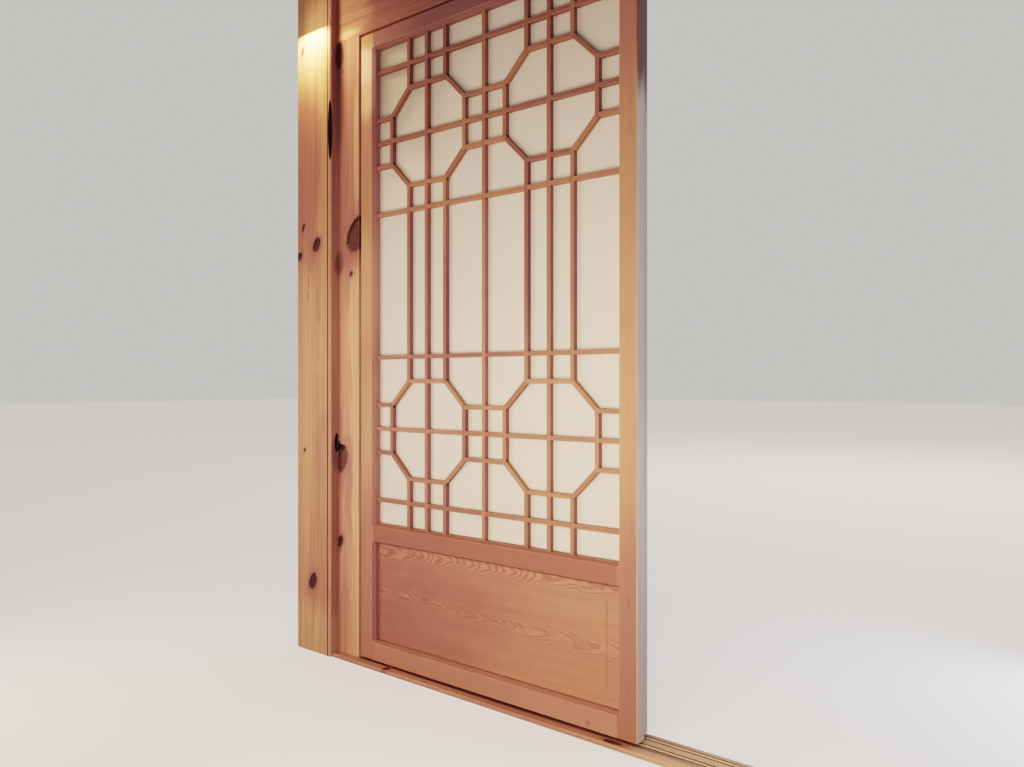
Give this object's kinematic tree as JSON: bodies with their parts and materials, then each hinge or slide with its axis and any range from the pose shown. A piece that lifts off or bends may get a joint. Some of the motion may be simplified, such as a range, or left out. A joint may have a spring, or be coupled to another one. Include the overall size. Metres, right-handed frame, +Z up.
{
  "type": "sliding lattice door bay of a traditional timber house",
  "caption": "Timber door bay with columns, jambs, grooved lintel and sill, and paper-backed lattice leaves with octagon tracery that slide past each other on inlaid tracks.",
  "frame": {"origin": "centre of the left column's foot, at the finished floor", "axes": "+X along the wall to the right as seen from the room, +Y into the depth of the wall away from the viewer, +Z up"},
  "size_m": [2.298, 0.16, 2.1],
  "materials": {
    "column_pine": "knotty pine, satin varnish",
    "frame_pine": "knotty pine, satin varnish",
    "lintel_pine": "reddish pine, satin varnish",
    "leaf_pine": "clear fine-grained pine, satin varnish",
    "panel_wood": "figured reddish veneer, satin varnish",
    "paper": "smooth laminated ivory paper, matt",
    "track_wood": "pale hardwood, worn smooth",
    "roller_nylon": "off-white nylon"
  },
  "bodies": {
    "frame": {"left_column": "column_pine", "right_column": "column_pine", "left_jamb": "frame_pine", "right_jamb": "frame_pine", "lintel": "lintel_pine", "sill": "frame_pine", "front_track": "track_wood", "back_track": "track_wood"},
    "front_leaf": {"front_leaf_left_stile": "leaf_pine", "front_leaf_right_stile": "leaf_pine", "front_leaf_top_rail": "leaf_pine", "front_leaf_mid_rail": "leaf_pine", "front_leaf_bottom_rail": "leaf_pine", "front_leaf_panel": "panel_wood", "front_leaf_lattice": "leaf_pine", "front_leaf_paper": "paper", "front_leaf_left_roller": "roller_nylon", "front_leaf_right_roller": "roller_nylon"},
    "back_leaf": {"back_leaf_left_stile": "leaf_pine", "back_leaf_right_stile": "leaf_pine", "back_leaf_top_rail": "leaf_pine", "back_leaf_mid_rail": "leaf_pine", "back_leaf_bottom_rail": "leaf_pine", "back_leaf_panel": "panel_wood", "back_leaf_lattice": "leaf_pine", "back_leaf_paper": "paper", "back_leaf_left_roller": "roller_nylon", "back_leaf_right_roller": "roller_nylon"}
  },
  "joints": [
    {"name": "front_leaf_slide", "type": "slide", "parent": "frame", "child": "front_leaf", "axis": [1, 0, 0], "range_m": [0, 0.865]},
    {"name": "back_leaf_slide", "type": "slide", "parent": "frame", "child": "back_leaf", "axis": [1, 0, 0], "range_m": [0, 0.889]}
  ]
}
